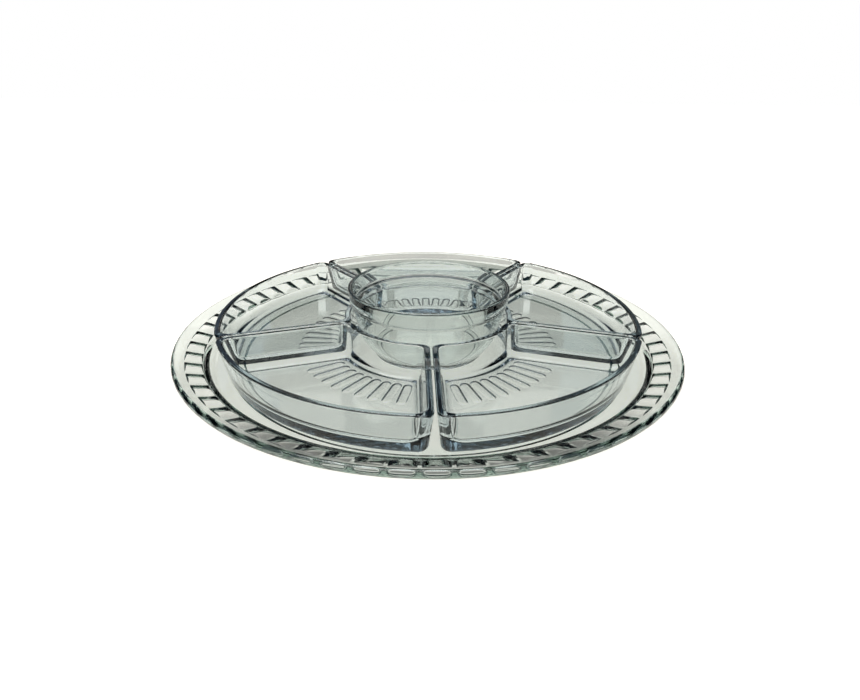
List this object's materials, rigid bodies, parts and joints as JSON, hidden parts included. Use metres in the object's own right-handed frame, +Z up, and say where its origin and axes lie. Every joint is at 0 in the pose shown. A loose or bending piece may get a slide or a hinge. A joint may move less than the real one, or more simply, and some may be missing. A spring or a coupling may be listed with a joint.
{
  "type": "relish tray",
  "caption": "Round fluted glass tray that holds a ring of loose wedge-shaped dishes round a centre bowl, for serving relishes and dips.",
  "frame": {"origin": "on the table under the middle of the tray", "axes": "+Z up out of the table; -Y towards the gap between the two front dishes; +X to the right"},
  "size_m": [0.355, 0.355, 0.0552],
  "materials": {
    "tray_glass": "clear pressed glass, polished",
    "dish_glass": "clear pressed glass, polished",
    "bowl_glass": "clear pressed glass, polished"
  },
  "bodies": {
    "tray": {"tray": "tray_glass"},
    "center_bowl": {"center_bowl": "bowl_glass"},
    "right_dish": {"right_dish": "dish_glass"},
    "back_dish": {"back_dish": "dish_glass"},
    "left_dish": {"left_dish": "dish_glass"},
    "front_left_dish": {"front_left_dish": "dish_glass"},
    "front_right_dish": {"front_right_dish": "dish_glass"}
  },
  "joints": [
    {"name": "bowl_lift", "type": "slide", "parent": "tray", "child": "center_bowl", "axis": [0, 0, 1], "range_m": [0, 0.06]},
    {"name": "right_dish_lift", "type": "slide", "parent": "tray", "child": "right_dish", "axis": [0.4755, 0.1545, 0.866], "range_m": [0, 0.08]},
    {"name": "back_dish_lift", "type": "slide", "parent": "tray", "child": "back_dish", "axis": [0, 0.5, 0.866], "range_m": [0, 0.08]},
    {"name": "left_dish_lift", "type": "slide", "parent": "tray", "child": "left_dish", "axis": [-0.4755, 0.1545, 0.866], "range_m": [0, 0.08]},
    {"name": "front_left_dish_lift", "type": "slide", "parent": "tray", "child": "front_left_dish", "axis": [-0.2939, -0.4045, 0.866], "range_m": [0, 0.08]},
    {"name": "front_right_dish_lift", "type": "slide", "parent": "tray", "child": "front_right_dish", "axis": [0.2939, -0.4045, 0.866], "range_m": [0, 0.08]}
  ]
}
